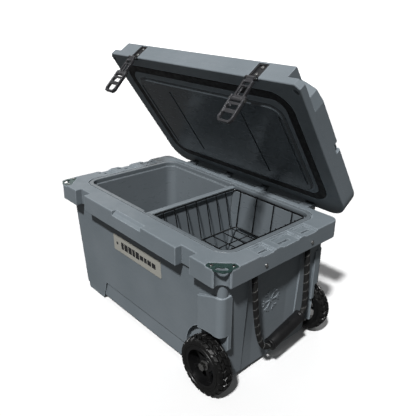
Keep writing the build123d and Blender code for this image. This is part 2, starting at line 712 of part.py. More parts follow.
with BuildPart() as lid_shell:
    add(crown.part)
    add(skirt.part)
    # Knuckles under the back edge, between the tub's lugs
    for low, high in KNUCKLE_SPANS:
        with BuildSketch(Plane.YZ.offset(low)):
            with Locations((HINGE_Y, HINGE_Z)):
                Circle(KNUCKLE_RADIUS - 1)
            with BuildLine():
                Polyline(
                    (HINGE_Y - KNUCKLE_RADIUS + 1, HINGE_Z),
                    (HINGE_Y + KNUCKLE_RADIUS - 1, HINGE_Z),
                    (HINGE_Y + KNUCKLE_RADIUS - 3, LID_BOTTOM + 4),
                    (HINGE_Y - KNUCKLE_RADIUS + 1, LID_BOTTOM + 4),
                    close=True,
                )
            make_face()
        extrude(amount=high - low)
    # Shallow panel in the top, stepped notches in the side edges and latch recesses
    with BuildSketch(Plane.XY.offset(LID_TOP - 3)):
        with Locations((0, 25)):
            RectangleRounded(560, 300, 30)
    extrude(amount=10, mode=Mode.SUBTRACT)
    for side in (-1, 1):
        with BuildSketch(Plane.XY.offset(LID_TOP - 18)):
            with Locations((side * END_X, 18)):
                Rectangle(22, 28)
        extrude(amount=30, mode=Mode.SUBTRACT)
        with BuildSketch(Plane.XY.offset(LID_BOTTOM - 1)):
            with Locations((side * 337, -186)):
                SlotOverall(17, 9, rotation=side * 45)
        extrude(amount=LID_SKIRT + 10, mode=Mode.SUBTRACT)
        with BuildSketch(Plane.XY.offset(LID_BOTTOM - 1)):
            with Locations((side * LATCH_X, LID_FRONT)):
                Rectangle(2 * BRACKET_HALF + 2, 2 * BRACKET_DEPTH + 2)
        extrude(amount=BRACKET_HIGH + 2 - LID_BOTTOM, mode=Mode.SUBTRACT)
    # Groove for the gasket, seat for the liner panel and room for the foam
    with BuildSketch(Plane.XY.offset(LID_BOTTOM - 1)):
        with Locations((0, 12)):
            RectangleRounded(2 * 311, 2 * 186, 56)
            RectangleRounded(2 * 287, 2 * 162, 34, mode=Mode.SUBTRACT)
    extrude(amount=5, mode=Mode.SUBTRACT)
    with BuildSketch(Plane.XY.offset(LID_BOTTOM - 1)):
        with Locations((0, (PANEL_FRONT + PANEL_BACK) / 2)):
            RectangleRounded(2 * PANEL_X + 8, PANEL_BACK - PANEL_FRONT + 8, 38)
    extrude(amount=LID_WALL + 1, mode=Mode.SUBTRACT)
    add(lid_room.part, mode=Mode.SUBTRACT)
    with BuildSketch(Plane.YZ):
        with Locations((HINGE_Y, HINGE_Z)):
            Circle(ROD_RADIUS + ROD_FIT)
    extrude(amount=END_X, both=True, mode=Mode.SUBTRACT)
save(opened(lid_shell.part), "lid_shell")

with BuildPart() as lid_foam:
    add(lid_room.part)
save(opened(lid_foam.part), "lid_foam")

with BuildPart() as lid_liner:
    with BuildSketch(Plane.XY.offset(LID_BOTTOM)):
        with Locations((0, (PANEL_FRONT + PANEL_BACK) / 2)):
            RectangleRounded(2 * PANEL_X + 8, PANEL_BACK - PANEL_FRONT + 8, 38)
    extrude(amount=LID_WALL)
    with BuildSketch(Plane.XY.offset(LID_BOTTOM)):
        with Locations((0, (PANEL_FRONT + PANEL_BACK) / 2)):
            RectangleRounded(2 * PANEL_X, PANEL_BACK - PANEL_FRONT, 34)
    extrude(amount=-5.5, taper=30)
    fillet(lid_liner.edges().group_by(Axis.Z)[0], 2)
    for groove_x, low, high in ((-262, -105, 132), (-135, -103, 130), (135, -103, 130), (262, -105, 132)):
        with BuildSketch(Plane.XY.offset(LID_BOTTOM - 7)):
            with Locations((groove_x, (low + high) / 2)):
                SlotOverall(high - low, 7, rotation=90)
        extrude(amount=4.5, mode=Mode.SUBTRACT)
save(opened(lid_liner.part), "lid_liner")

with BuildPart() as lid_gasket:
    with BuildSketch(Plane.XY.offset(LID_BOTTOM + 0.1)):
        with Locations((0, 12)):
            RectangleRounded(2 * 309, 2 * 184, 54)
            RectangleRounded(2 * 289, 2 * 164, 36, mode=Mode.SUBTRACT)
    extrude(amount=3.8)
save(opened(lid_gasket.part), "lid_gasket")

# Latches: a bracket screwed into the lid's front, an arm on its pin and a lever on the arm's end
arm_down = Vector(0, sin(radians(ARM_TILT)), -cos(radians(ARM_TILT)))
lever_down = Vector(0, sin(radians(LEVER_TILT)), -cos(radians(LEVER_TILT)))
arm_out = Vector(0, -cos(radians(ARM_TILT)), -sin(radians(ARM_TILT)))
lever_out = Vector(0, -cos(radians(LEVER_TILT)), -sin(radians(LEVER_TILT)))
BRACKET_SCREWS = (361.5, 385)
BARREL = 5

for name, side in (("left", -1), ("right", 1)):
    pivot = Vector(side * LATCH_X, ARM_Y, ARM_Z)
    elbow = pivot + arm_down * ARM_LENGTH
    arm_plane = Plane(pivot, (1, 0, 0), arm_out)
    lever_plane = Plane(elbow, (1, 0, 0), lever_out)

    with BuildPart() as latch_bracket:
        with BuildSketch(Plane.XZ.offset(-LID_FRONT - BRACKET_DEPTH)):
            with Locations((side * LATCH_X, (BRACKET_LOW + BRACKET_HIGH) / 2)):
                RectangleRounded(2 * BRACKET_HALF, BRACKET_HIGH - BRACKET_LOW, 2)
        extrude(amount=BRACKET_DEPTH - 1)
        with BuildSketch(Plane.XZ.offset(-LID_FRONT - 4)):
            with Locations((side * LATCH_X, (BRACKET_LOW + BRACKET_HIGH) / 2)):
                RectangleRounded(2 * BRACKET_HALF - 8, BRACKET_HIGH - BRACKET_LOW - 6, 2)
        extrude(amount=10, mode=Mode.SUBTRACT)
        for ear in (-13, 13):
            with BuildSketch(Plane.YZ.offset(side * LATCH_X + ear - 2)):
                with Locations((ARM_Y, ARM_Z)):
                    Circle(BARREL)
                with BuildLine():
                    Polyline(
                        (ARM_Y - 1, ARM_Z + BARREL),
                        (LID_FRONT + 7, BRACKET_LOW + 12),
                        (LID_FRONT + 7, BRACKET_LOW + 1),
                        (ARM_Y + BARREL, ARM_Z),
                        close=True,
                    )
                make_face()
            extrude(amount=4)
        with BuildSketch(Plane.YZ.offset(side * LATCH_X)):
            with Locations((ARM_Y, ARM_Z)):
                Circle(PIN_RADIUS)
        extrude(amount=30, both=True, mode=Mode.SUBTRACT)
        with BuildSketch(Plane.XZ.offset(-LID_FRONT - 20)):
            with Locations(*[(side * LATCH_X, z) for z in BRACKET_SCREWS]):
                Circle(SCREW_RADIUS)
        extrude(amount=30, mode=Mode.SUBTRACT)
    save(opened(latch_bracket.part), f"latch_bracket_{name}")

    with BuildPart() as latch_pin:
        with BuildSketch(Plane.YZ.offset(side * LATCH_X)):
            with Locations((ARM_Y, ARM_Z)):
                Circle(PIN_RADIUS)
        extrude(amount=15.6, both=True)
    save(opened(latch_pin.part), f"latch_pin_{name}")

    with BuildPart() as latch_arm:
        with BuildSketch(arm_plane.offset(-4)):
            with Locations((0, -7 - (ARM_LENGTH - 7) / 2)):
                Rectangle(30, ARM_LENGTH - 7)
            with Locations((0, -16)):
                RectangleRounded(18, 6, 1, mode=Mode.SUBTRACT)
            with Locations((0, -29)):
                RectangleRounded(18, 8, 1, mode=Mode.SUBTRACT)
            with Locations((0, -43)):
                RectangleRounded(18, 10, 1, mode=Mode.SUBTRACT)
        extrude(amount=8)
        with BuildSketch(Plane.YZ.offset(side * LATCH_X)):
            with Locations((elbow.Y, elbow.Z)):
                Circle(BARREL)
        extrude(amount=15, both=True)
        with BuildSketch(Plane.YZ.offset(side * LATCH_X)):
            with Locations((ARM_Y, ARM_Z)):
                Circle(BARREL)
        extrude(amount=10.5, both=True)
        with BuildSketch(arm_plane.offset(-4)):
            with Locations((0, -4)):
                Rectangle(21, 8)
        extrude(amount=8)
        with BuildSketch(arm_plane.offset(1)):
            with Locations((0, -30)):
                Rectangle(19, 42)
        extrude(amount=5, mode=Mode.SUBTRACT)
        for spot, fit in ((pivot, 0.05), (elbow, 0)):
            with BuildSketch(Plane.YZ.offset(side * LATCH_X)):
                with Locations((spot.Y, spot.Z)):
                    Circle(PIN_RADIUS + fit)
            extrude(amount=30, both=True, mode=Mode.SUBTRACT)
    save(opened(latch_arm.part), f"latch_arm_{name}")

    with BuildPart() as lever_pin:
        with BuildSketch(Plane.YZ.offset(side * LATCH_X)):
            with Locations((elbow.Y, elbow.Z)):
                Circle(PIN_RADIUS)
        extrude(amount=22.6, both=True)
        for end in (-1, 1):
            with BuildSketch(Plane.YZ.offset(side * LATCH_X + end * 22.3)):
                with Locations((elbow.Y, elbow.Z)):
                    Circle(4)
            extrude(amount=end * 1.5)
    save(opened(lever_pin.part), f"lever_pin_{name}")

    with BuildPart() as latch_lever:
        with BuildSketch(lever_plane.offset(-4)) as lever_plan:
            with BuildLine():
                Polyline((-22, 9), (-22, -52), (-15, -60), (15, -60), (22, -52), (22, 9), close=True)
            make_face()
            with BuildLine():
                Polyline((-16, 10), (-16, -49), (-12, -54), (12, -54), (16, -49), (16, 10), close=True)
            make_face(mode=Mode.SUBTRACT)
        extrude(amount=9)
        with BuildSketch(lever_plane.offset(0)):
            with Locations((0, -14)):
                Rectangle(33, 11)
            with Locations((0, -31)):
                Rectangle(33, 9)
        extrude(amount=3.5)
        with BuildSketch(lever_plane.offset(-3.5)):
            with Locations((0, -31)):
                Rectangle(33, 5)
        extrude(amount=5)
        with BuildSketch(Plane.YZ.offset(side * LATCH_X)):
            with Locations((elbow.Y, elbow.Z)):
                Circle(PIN_RADIUS + 0.05)
        extrude(amount=30, both=True, mode=Mode.SUBTRACT)
    save(opened(latch_lever.part), f"latch_lever_{name}")

with BuildPart() as bracket_screws:
    for side in (-1, 1):
        for z in BRACKET_SCREWS:
            with BuildSketch(Plane.XZ.offset(-LID_FRONT - 4)):
                with Locations((side * LATCH_X, z)):
                    Circle(4.2)
            extrude(amount=2)
    fillet(bracket_screws.edges().filter_by(GeomType.CIRCLE).group_by(Axis.Y)[0], 0.9)
    for side in (-1, 1):
        for z in BRACKET_SCREWS:
            with BuildSketch(Plane.XZ.offset(-LID_FRONT - 4)):
                with Locations((side * LATCH_X, z)):
                    Circle(SCREW_RADIUS)
            extrude(amount=-4)
save(opened(bracket_screws.part), "bracket_screws")

# Rope handles: one length of rope hangs from two anchors and runs through the grip
ROPE_TOP = 294
ROPE_ROUTE = [
    (337, -92, ROPE_TOP),
    (337, -86, 238),
    (337, -78, 177),
    (338, -67, 121),
    (340, -55, 87),
    (342, -38, 73.6),
    (342, 101, 110.4),
    (341, 104, 150),
    (339, 103, 220),
    (337, 99, ROPE_TOP),
]


def bend_radii(route):
    """The largest tangent arc that each corner's two runs allow."""
    points = [Vector(*point) for point in route]
    radii = []
    for before, corner, after in zip(points, points[1:], points[2:]):
        run_in, run_out = corner - before, after - corner
        turn = radians(run_in.get_angle(run_out))
        radii.append(0.45 * min(run_in.length, run_out.length) / tan(turn / 2))
    return radii


radii = bend_radii(ROPE_ROUTE)
print("rope bend radii", [round(radius, 1) for radius in radii])

with BuildPart() as rope:
    with BuildLine() as rope_path:
        FilletPolyline(*ROPE_ROUTE, radius=radii)
    start = rope_path.line @ 0
    with BuildSketch(Plane(start, z_dir=rope_path.line % 0)):
        Circle(ROPE_RADIUS)
    sweep(path=rope_path.line)
rope_length = rope_path.wire().length
print("rope length", round(rope_length, 1))
print("rope volume share", round(rope.part.volume / (pi * ROPE_RADIUS**2 * rope_length), 4))

grip_direction = (Vector(*GRIP_END) - Vector(*GRIP_START)).normalized()
with BuildPart() as grip:
    with BuildSketch(Plane(GRIP_START, x_dir=(1, 0, 0), z_dir=grip_direction)):
        Circle(GRIP_RADIUS)
    extrude(amount=GRIP_LENGTH)
    fillet(grip.edges().filter_by(GeomType.CIRCLE), 2.5)
    with BuildSketch(Plane(GRIP_START, x_dir=(1, 0, 0), z_dir=grip_direction)):
        Circle(GRIP_BORE)
    extrude(amount=GRIP_LENGTH, mode=Mode.SUBTRACT)

save(rope.part, "rope_right")
save(grip.part, "grip_right")
save(mirrored(rope.part), "rope_left")
save(mirrored(grip.part), "grip_left")

# Wire basket, hanging on the front and back ledges of the right-hand side
BASKET_LEFT, BASKET_RIGHT, BASKET_FRONT, BASKET_BACK = 12.5, 274, -131.5, 166.5
BASKET_TOP, BASKET_FLOOR, BASKET_INSET_X, BASKET_INSET_Y = 336.1, 232, 28.5, 16.5
RIM_WIRE, BASE_WIRE, THIN_WIRE = 2.2, 1.8, 1.5
WELD = RIM_WIRE + THIN_WIRE - 0.2


def wire_ring(inset_x, inset_y, z, wire_radius):
    """A closed rectangular ring of wire with round corners."""
    with BuildPart() as ring:
        with BuildLine(Plane.XY.offset(z)) as path:
            FilletPolyline(
                (BASKET_LEFT + inset_x, BASKET_FRONT + inset_y),
                (BASKET_RIGHT - inset_x, BASKET_FRONT + inset_y),
                (BASKET_RIGHT - inset_x, BASKET_BACK - inset_y),
                (BASKET_LEFT + inset_x, BASKET_BACK - inset_y),
                radius=14,
                close=True,
            )
        with BuildSketch(Plane(path.line @ 0, z_dir=path.line % 0)):
            Circle(wire_radius)
        sweep(path=path.line)
    return ring.part


def hanging_wires(low, high, inset, floor_z, places, along_x):
    """U-shaped wires that hang inside the basket's rim, one at each place."""
    with BuildPart() as wires:
        for place in places:
            plan = Plane.XZ.offset(-place) if along_x else Plane.YZ.offset(place)
            with BuildLine(plan) as path:
                FilletPolyline(
                    (low + WELD, BASKET_TOP + 1.5),
                    (low + inset, floor_z),
                    (high - inset, floor_z),
                    (high - WELD, BASKET_TOP + 1.5),
                    radius=5,
                )
            with BuildSketch(Plane(path.line @ 0, z_dir=path.line % 0)):
                Circle(THIN_WIRE)
            sweep(path=path.line)
    return wires.part


side_places = [-98 + step * 37.5 for step in range(7)]
back_places = [BASKET_LEFT + BASKET_INSET_X + 2 + step * 63.5 for step in range(4)]
cross_floor = BASKET_FLOOR - 2 * THIN_WIRE + 0.2
long_wires = hanging_wires(BASKET_LEFT, BASKET_RIGHT, BASKET_INSET_X, BASKET_FLOOR, side_places, True)
cross_wires = hanging_wires(BASKET_FRONT, BASKET_BACK, BASKET_INSET_Y, cross_floor, back_places, False)
save(wire_ring(0, 0, BASKET_TOP, RIM_WIRE), "basket_rim")
save(wire_ring(BASKET_INSET_X, BASKET_INSET_Y, cross_floor, BASE_WIRE), "basket_base_ring")
save(long_wires, "basket_long_wires")
save(cross_wires, "basket_cross_wires")

# Divider board, standing in the liner's two grooves
DIVIDER_TOP, DIVIDER_HALF, DIVIDER_GAP = 340, 8, 1
cavity_drop = RIM_TOP - LEDGE_DEPTH - CAVITY_FLOOR
divider_top_half = MOUTH_Y + SLOT_DEPTH - DIVIDER_GAP
divider_low_half = divider_top_half - cavity_drop * tan(radians(CAVITY_DRAFT))
with BuildPart() as divider:
    with BuildSketch(Plane.YZ):
        with BuildLine():
            Polyline(
                (MOUTH_CENTRE - divider_top_half, DIVIDER_TOP),
                (MOUTH_CENTRE - divider_low_half, CAVITY_FLOOR + 2.5),
                (MOUTH_CENTRE + divider_low_half, CAVITY_FLOOR + 2.5),
                (MOUTH_CENTRE + divider_top_half, DIVIDER_TOP),
                close=True,
            )
        make_face()
    extrude(amount=DIVIDER_HALF, both=True)
    fillet(divider.edges().group_by(Axis.Z)[-1], 2)
save(divider.part, "divider")
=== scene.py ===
import json
import math

import bmesh
import bpy
from mathutils import Matrix, Vector


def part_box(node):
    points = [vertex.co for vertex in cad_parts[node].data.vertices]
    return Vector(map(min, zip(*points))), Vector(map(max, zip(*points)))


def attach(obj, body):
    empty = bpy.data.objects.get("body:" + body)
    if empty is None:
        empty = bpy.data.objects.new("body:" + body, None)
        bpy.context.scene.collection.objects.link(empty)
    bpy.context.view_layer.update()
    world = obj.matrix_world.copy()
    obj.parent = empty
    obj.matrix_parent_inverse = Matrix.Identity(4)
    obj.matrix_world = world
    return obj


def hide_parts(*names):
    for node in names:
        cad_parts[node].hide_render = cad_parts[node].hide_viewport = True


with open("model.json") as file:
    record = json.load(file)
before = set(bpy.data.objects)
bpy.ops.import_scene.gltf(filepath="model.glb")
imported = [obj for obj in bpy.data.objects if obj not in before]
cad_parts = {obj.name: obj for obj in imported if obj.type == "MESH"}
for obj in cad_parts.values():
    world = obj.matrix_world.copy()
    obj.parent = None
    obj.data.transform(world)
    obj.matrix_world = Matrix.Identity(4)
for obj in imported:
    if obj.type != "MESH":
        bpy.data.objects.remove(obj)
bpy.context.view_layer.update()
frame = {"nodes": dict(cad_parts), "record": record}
NODES = frame["nodes"]
MM = 0.001

# ---------------------------------------------------------------- camera


def make_camera():
    """A camera at the photograph's angle, a little above the front right corner."""
    azimuth, elevation, roll = (math.radians(a) for a in (46.08, 21.557, 1.5405))
    back = Vector((
        math.sin(azimuth) * math.cos(elevation),
        -math.cos(azimuth) * math.cos(elevation),
        math.sin(elevation),
    ))
    right = Vector((math.cos(azimuth), math.sin(azimuth), 0))
    up = back.cross(right)
    x_axis = right * math.cos(roll) + up * math.sin(roll)
    y_axis = up * math.cos(roll) - right * math.sin(roll)
    data = bpy.data.cameras.new("camera")
    data.sensor_width, data.lens = 36, 42.16
    data.shift_x, data.shift_y = -0.0264, -0.0384
    data.clip_start, data.clip_end = 0.05, 30
    camera = bpy.data.objects.new("camera", data)
    camera.matrix_world = Matrix((x_axis, y_axis, back)).transposed().to_4x4()
    camera.location = (0.9483, -0.7964, 0.8557)
    bpy.context.scene.collection.objects.link(camera)
    bpy.context.scene.camera = camera


make_camera()

# ---------------------------------------------------------------- node helpers

# A Mix node's colour sockets go by number, because its other sockets have the same names
MIX_FIRST, MIX_SECOND, MIX_RESULT = 6, 7, 2


class Shader:
    """A short way to write a procedural material around one Principled shader."""

    def __init__(self, name):
        self.material = bpy.data.materials.new(name)
        self.material.use_nodes = True
        self.tree = self.material.node_tree
        self.main = self.tree.nodes["Principled BSDF"]
        self.place = self.add("ShaderNodeTexCoord").outputs["Object"]

    def add(self, kind, inputs=None, **settings):
        node = self.tree.nodes.new(kind)
        for key, value in settings.items():
            setattr(node, key, value)
        for key, value in (inputs or {}).items():
            self.join(value, node.inputs[key])
        return node

    def join(self, value, socket):
        if isinstance(value, bpy.types.NodeSocket):
            self.tree.links.new(value, socket)
        else:
            socket.default_value = value

    def noise(self, scale, detail=4, rough=0.55, place=None, stretch=None):
        where = place or self.place
        if stretch:
            where = self.add("ShaderNodeMapping", {"Vector": where, "Scale": stretch}).outputs[0]
        inputs = {"Vector": where, "Scale": scale, "Detail": detail, "Roughness": rough}
        return self.add("ShaderNodeTexNoise", inputs).outputs["Fac"]

    def ramp(self, factor, low, high, from_value=0.35, to_value=0.65):
        node = self.add("ShaderNodeMapRange", {
            "Value": factor,
            "From Min": from_value,
            "From Max": to_value,
            "To Min": low,
            "To Max": high,
        })
        return node.outputs["Result"]

    def math(self, operation, first, second=0.0):
        return self.add("ShaderNodeMath", {0: first, 1: second}, operation=operation).outputs[0]

    def mix(self, factor, first, second, blend="MIX"):
        node = self.add("ShaderNodeMix", data_type="RGBA", blend_type=blend)
        self.join(factor, node.inputs["Factor"])
        self.join(first, node.inputs[MIX_FIRST])
        self.join(second, node.inputs[MIX_SECOND])
        return node.outputs[MIX_RESULT]

    def grey(self, value):
        inputs = {"Red": value, "Green": value, "Blue": value}
        return self.add("ShaderNodeCombineColor", inputs).outputs["Color"]

    def bump(self, height, strength, distance, normal=None):
        inputs = {"Height": height, "Strength": strength, "Distance": distance}
        if normal is not None:
            inputs["Normal"] = normal
        return self.add("ShaderNodeBump", inputs).outputs["Normal"]

    def rounded(self, radius, samples=4):
        return self.add("ShaderNodeBevel", {"Radius": radius}, samples=samples).outputs["Normal"]

    def edges(self, radius):
        """1 along sharp edges and 0 elsewhere."""
        bent = self.rounded(radius, 6)
        flat = self.add("ShaderNodeNewGeometry").outputs["Normal"]
        dot = self.add("ShaderNodeVectorMath", {0: bent, 1: flat}, operation="DOT_PRODUCT")
        return self.ramp(dot.outputs["Value"], 1.0, 0.0, 0.8, 0.998)

    def crevice_shade(self, distance):
        """A mask for painted shade: 0 deep in seams and corners, and 1 in the open."""
        node = self.add("ShaderNodeAmbientOcclusion", {"Distance": distance}, samples=6)
        return self.ramp(node.outputs["AO"], 0.0, 1.0, 0.25, 0.85)

    def out(self, **inputs):
        for key, value in inputs.items():
            self.join(value, self.main.inputs[key.replace("_", " ")])
        return self.material


def rgb(red, green, blue):
    """A linear colour from display values of 0 to 255."""
    def linear(value):
        value /= 255
        return value / 12.92 if value <= 0.04045 else ((value + 0.055) / 1.055) ** 2.4
    return (linear(red), linear(green), linear(blue), 1)


def shaded(colour, factor, lift=0.0):
    """The same colour made darker or paler."""
    return tuple(min(1, part * factor + lift) for part in colour[:3]) + (1,)


# ---------------------------------------------------------------- materials


def moulded_grey(name, colour, dark, rough=0.5, grain=1.0, round_edge=0.0012):
    """Rotomoulded polyethylene: faint mottling, fine grain, painted shade in seams, edges paler from wear
    and a painted highlight.
    """
    s = Shader(name)
    cloud = s.ramp(s.noise(5, 5), 0, 1)
    tint = s.mix(cloud, dark, colour)
    speck = s.ramp(s.noise(900, 2), 0.93, 1.05)
    tint = s.mix(1.0, tint, s.grey(speck), "MULTIPLY")
    # Painted shade: the colour darkens to a deep shaded grey in seams and corners
    tint = s.mix(s.crevice_shade(0.007), shaded(dark, 0.35), tint)
    # Paler edges: partly wear, partly a painted highlight along the edges
    wear_and_highlight = s.math("MULTIPLY", s.edges(0.005), s.ramp(s.noise(60, 4), 0.35, 0.8))
    tint = s.mix(wear_and_highlight, tint, shaded(colour, 1.9, 0.03))
    scuff = s.ramp(s.noise(30, 6, stretch=(1, 1, 4)), rough - 0.06, rough + 0.1)
    fine = s.noise(1400, 2, 0.6)
    orange_peel = s.noise(160, 3)
    normal = s.bump(orange_peel, 0.10 * grain, 0.0008, s.rounded(round_edge))
    normal = s.bump(fine, 0.18 * grain, 0.0002, normal)
    return s.out(Base_Color=tint, Roughness=scuff, Normal=normal)


def black_plastic(name, value=0.018, rough=0.42, grain=1.0, edge_value=0.04):
    """Injection-moulded black plastic with a fine spark-eroded grain, and edges made paler by scuffing and a
    painted highlight.
    """
    s = Shader(name)
    base = (value, value, value * 1.08, 1)
    pale = (edge_value, edge_value, edge_value * 1.1, 1)
    # Paler edges: partly scuffs, partly a painted highlight
    wear_and_highlight = s.math("MULTIPLY", s.edges(0.0012), s.ramp(s.noise(120, 4), 0.0, 0.7))
    tint = s.mix(wear_and_highlight, base, pale)
    normal = s.bump(s.noise(2200, 2), 0.25 * grain, 0.0001, s.rounded(0.0006))
    roughness = s.ramp(s.noise(40, 5), rough - 0.06, rough + 0.1)
    return s.out(Base_Color=tint, Roughness=roughness, Normal=normal)


def bright_metal(name, colour, rough=0.22, stretch=(1, 1, 1), metallic=1.0):
    """Bare metal with fine brushing and small blotches."""
    s = Shader(name)
    tint = s.mix(s.ramp(s.noise(90, 5), 0, 0.6), colour, shaded(colour, 0.6))
    brush = s.noise(500, 3, stretch=stretch)
    normal = s.bump(brush, 0.12, 0.0001, s.rounded(0.0005))
    roughness = s.ramp(brush, rough - 0.07, rough + 0.1)
    return s.out(Base_Color=tint, Metallic=metallic, Roughness=roughness, Normal=normal)


def painted_plate(name, colour):
    """A champagne lacquer over brushed metal, with fine specks and paler edges."""
    s = Shader(name)
    brush = s.noise(700, 3, stretch=(0.03, 1, 1))
    tint = s.mix(s.ramp(brush, 0, 0.35), colour, shaded(colour, 0.7))
    tint = s.mix(s.math("MULTIPLY", s.edges(0.0006), 0.6), tint, rgb(220, 218, 210))
    normal = s.bump(brush, 0.1, 0.0001, s.rounded(0.0004))
    return s.out(Base_Color=tint, Metallic=0.3, Roughness=s.ramp(brush, 0.32, 0.45), Normal=normal)


def rubber(name, value=0.012, rough=0.6):
    """Black rubber with dust and a faint bloom."""
    s = Shader(name)
    dust = s.math("MULTIPLY", s.ramp(s.noise(35, 6), 0, 0.5, 0.5, 0.75), 0.5)
    tint = s.mix(dust, (value, value, value, 1), (value * 4, value * 3.8, value * 3.4, 1))
    normal = s.bump(s.noise(900, 3), 0.25, 0.0002, s.rounded(0.0005))
    return s.out(Base_Color=tint, Roughness=s.ramp(s.noise(80, 4), rough - 0.1, rough + 0.15), Normal=normal)


GREY, DARK_GREY = rgb(122, 130, 136), rgb(112, 121, 127)

MATERIALS = {
    "tub_grey": moulded_grey("moulded_grey", GREY, DARK_GREY),
    "divider_plastic": moulded_grey("divider_grey", rgb(128, 136, 141), rgb(119, 127, 133), 0.45, 0.6),
    "foam": moulded_grey("foam_core", rgb(226, 214, 170), rgb(214, 200, 152), 0.8),
    "black_plastic": black_plastic("black_plastic"),
    # A greyer black that stands partly for painted sheen, with pale edges that are mostly a painted
    # highlight
    "latch_plastic": black_plastic("latch_plastic", 0.042, 0.28, 0.6, 0.32),
    "hub_plastic": black_plastic("hub_plastic", 0.004, 0.4),
    "grip_plastic": black_plastic("grip_plastic", 0.007, 0.32),
    "nylon": black_plastic("nylon", 0.03, 0.5),
    "rubber": rubber("seal_rubber", 0.004),
    "tyre": rubber("tyre_rubber", 0.004, 0.36),
    "plate_steel": bright_metal("plate_steel", rgb(64, 88, 85), 0.3, metallic=0.4),
    "bright_steel": bright_metal("bright_steel", rgb(190, 190, 188), 0.28),
    "label_metal": painted_plate("label_metal", rgb(196, 195, 186)),
    "basket_wire": black_plastic("dipped_wire", 0.003, 0.25, 0.4),
    "rope": rubber("rope_black", 0.005, 0.7),
}
TRACER_YARN = rubber("tracer_yarn", 0.16, 0.85)

# The liners are darker copies of the moulded grey: the extra darkness is painted shade for the inside of the
# tub and the underside of the lid
NODE_MATERIALS = {
    "lid_liner": moulded_grey("lid_liner_gloss_painted_shade", rgb(86, 93, 98), rgb(78, 85, 90), 0.2, 0.35),
    "tub_liner": moulded_grey("tub_liner_satin_painted_shade", rgb(110, 117, 122), rgb(101, 108, 113), 0.32, 0.6),
}

slot_of = {part["node"]: part["material_slot"] for part in frame["record"]["subparts"]}
for name, node in NODES.items():
    node.data.materials.clear()
    node.data.materials.append(NODE_MATERIALS.get(name, MATERIALS[slot_of[name]]))

# ---------------------------------------------------------------- mesh helpers


def finished(name, mesh, body, slot_name, stands_for=(), material=None):
    """Puts a bmesh into the scene as a piece that rides on a body."""
    bmesh.ops.recalc_face_normals(mesh, faces=mesh.faces)
    data = bpy.data.meshes.new(name)
    mesh.to_mesh(data)
    mesh.free()
    for face in data.polygons:
        face.use_smooth = True
    data.set_sharp_from_angle(angle=math.radians(35))
    piece = bpy.data.objects.new(name, data)
    bpy.context.scene.collection.objects.link(piece)
    data.materials.append(material or MATERIALS[slot_name])
    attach(piece, body)
    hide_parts(*stands_for)
    return piece


def bridge_rings(mesh, rings, closed_along=False):
    """Quads between neighbouring rings of points, each ring closed on itself."""
    rows = [[mesh.verts.new(point) for point in ring] for ring in rings]
    pairs = list(zip(rows, rows[1:])) + ([(rows[-1], rows[0])] if closed_along else [])
    for low, high in pairs:
        for i, corner in enumerate(low):
            j = (i + 1) % len(low)
            mesh.faces.new((corner, low[j], high[j], high[i]))
    return rows


def closed_tube(mesh, rings):
    """Bridged rings with a face over each end."""
    rows = bridge_rings(mesh, rings)
    mesh.faces.new(rows[-1])
    mesh.faces.new(list(reversed(rows[0])))


def lathe(mesh, profile, origin, axis, steps=96):
    """A closed (radius, height) outline turned about an axis."""
    axis = Vector(axis).normalized()
    first = axis.orthogonal().normalized()
    second = axis.cross(first)
    rings = []
    for k in range(steps):
        angle = 2 * math.pi * k / steps
        outward = first * math.cos(angle) + second * math.sin(angle)
        rings.append([Vector(origin) + outward * r + axis * h for r, h in profile])
    bridge_rings(mesh, rings, True)


def block(mesh, middle, axes, size, bevel):
    """A box with rounded edges; axes are its three directions and size its full lengths."""
    matrix = Matrix([Vector(axis).normalized() for axis in axes]).transposed().to_4x4()
    matrix.translation = middle
    scale = Matrix.Diagonal((*size, 1))
    made = bmesh.ops.create_cube(mesh, size=1, matrix=matrix @ scale)
    edges = {edge for vert in made["verts"] for edge in vert.link_edges}
    bmesh.ops.bevel(mesh, geom=list(edges), offset=bevel, segments=2, affect="EDGES", profile=0.6)


# ---------------------------------------------------------------- wheels

AXLE_X, AXLE_Z, WHEEL_Y = 286.7 * MM, 72 * MM, 184.95 * MM
TYRE_HALF, TREAD_RADIUS, CARCASS_RADIUS, RIM_RADIUS = 20.75 * MM, 72 * MM, 66.4 * MM, 50 * MM
TREAD_ROWS, TREAD_COUNT, ROW_GAP = 4, 24, 1.6 * MM
TREAD_PITCH, ROW_WIDTH = 2 * math.pi / TREAD_COUNT, 2 * TYRE_HALF / TREAD_ROWS
# A block's length and slant as shares of the pitch, and how the tread falls off to its sides
BLOCK_SHARE, BLOCK_LEAN = 0.74, 0.32
CROWN_FALL, CROWN_POWER = 5.2 * MM, 2.6


def tread_block(mesh, centre, start, lean, low_y, root_depth):
    """One slanted tread block, with its top edges drawn in and its root inside the carcass."""
    high_y = low_y + ROW_WIDTH - ROW_GAP
    layers = []
    for radius, inset in (
        (CARCASS_RADIUS - root_depth, 0),
        (TREAD_RADIUS - 1.2 * MM, 0.3 * MM),
        (TREAD_RADIUS - 0.3 * MM, 1.2 * MM),
    ):
        near, far = low_y + inset, high_y - inset
        shortened = inset / TREAD_RADIUS
        first, last = start + shortened, start + BLOCK_SHARE * TREAD_PITCH - shortened
        corners = []
        for y, angle in ((near, first), (far, first), (far, last), (near, last)):
            angle += lean * (y - low_y) / (high_y - low_y)
            reach = radius - CROWN_FALL * abs(y / TYRE_HALF) ** CROWN_POWER
            corners.append(centre + Vector((reach * math.cos(angle), y, reach * math.sin(angle))))
        layers.append(corners)
    closed_tube(mesh, layers)


